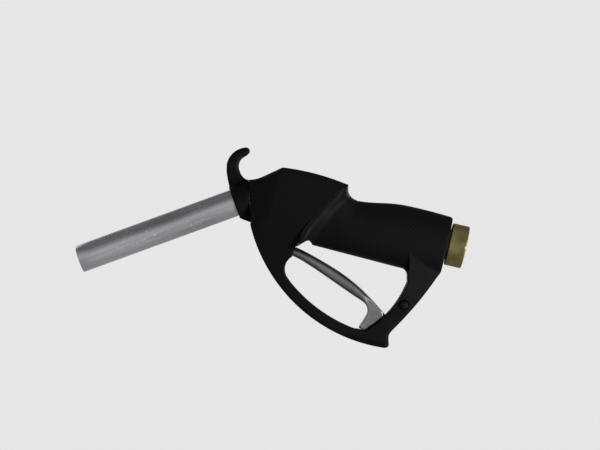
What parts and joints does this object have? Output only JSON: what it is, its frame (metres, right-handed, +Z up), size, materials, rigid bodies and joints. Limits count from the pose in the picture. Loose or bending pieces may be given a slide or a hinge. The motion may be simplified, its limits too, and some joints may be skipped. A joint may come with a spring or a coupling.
{
  "type": "fuel nozzle",
  "caption": "Hand-held fuel dispensing nozzle with a moulded grip and guard, a sprung lever and valve, a hold-open latch, a hanging hook and a swivelling inlet.",
  "frame": {"origin": "centre of the inlet's mouth, on the swivel's axis", "axes": "+X out of the inlet's mouth along the swivel's axis, +Z up from the lever to the top of the head; the spout points towards -X and down; the latch button is on the -Y side"},
  "size_m": [0.3538, 0.049, 0.1533],
  "materials": {
    "cast_aluminium": "as cast, machined bores",
    "black_plastic": "satin, fine moulded grain",
    "steel": "zinc plated",
    "drawn_aluminium": "drawn tube with fine lengthwise scratches",
    "rubber": "smooth",
    "brass": "turned, dulled by handling",
    "spring_steel": "drawn wire",
    "lever_metal": "die cast, tumbled satin"
  },
  "bodies": {
    "nozzle": {"valve_body": "cast_aluminium", "cover_left": "black_plastic", "cover_right": "black_plastic", "cover_screws": "steel", "hook_collar": "black_plastic", "spout_set_screw": "steel", "spout_tube": "drawn_aluminium", "spout_o_ring": "rubber", "valve_seat": "brass", "valve_spring": "spring_steel", "chamber_cap": "cast_aluminium", "cap_o_ring": "rubber", "gland_nut": "brass", "stem_o_rings": "rubber", "swivel_retaining_ring": "spring_steel", "lever_pin": "steel", "lever_pin_clip": "spring_steel", "latch_spring": "spring_steel"},
    "lever": {"lever": "lever_metal"},
    "valve": {"valve_stem": "steel", "valve_poppet": "brass", "valve_seal": "rubber", "poppet_nut": "steel"},
    "swivel": {"inlet_swivel": "brass", "swivel_o_rings": "rubber", "inlet_washer": "rubber", "inlet_strainer": "steel"},
    "latch": {"latch_pin": "steel", "latch_button": "black_plastic"}
  },
  "joints": [
    {"name": "lever_pivot", "type": "hinge", "parent": "nozzle", "child": "lever", "pos_m": [-0.177, 0, -0.037], "axis": [0, -1, 0], "range_deg": [0, 13], "stiffness_Nm_per_rad": 3, "springref_deg": -17.19},
    {"name": "valve_lift", "type": "slide", "parent": "nozzle", "child": "valve", "axis": [0, 0, 1], "range_m": [0, 0.0038], "deforming": ["valve_spring"]},
    {"name": "inlet_swivel_turn", "type": "hinge", "parent": "nozzle", "child": "swivel", "pos_m": [0, 0, 0], "axis": [1, 0, 0], "continuous": true},
    {"name": "latch_press", "type": "slide", "parent": "nozzle", "child": "latch", "axis": [0, 1, 0], "range_m": [0, 0.003], "stiffness_N_per_m": 400, "springref_m": -0.004, "deforming": ["latch_spring"]}
  ],
  "couplings": [
    {"joint": "valve_lift", "follows": "lever_pivot", "m_per_rad": 0.016}
  ]
}
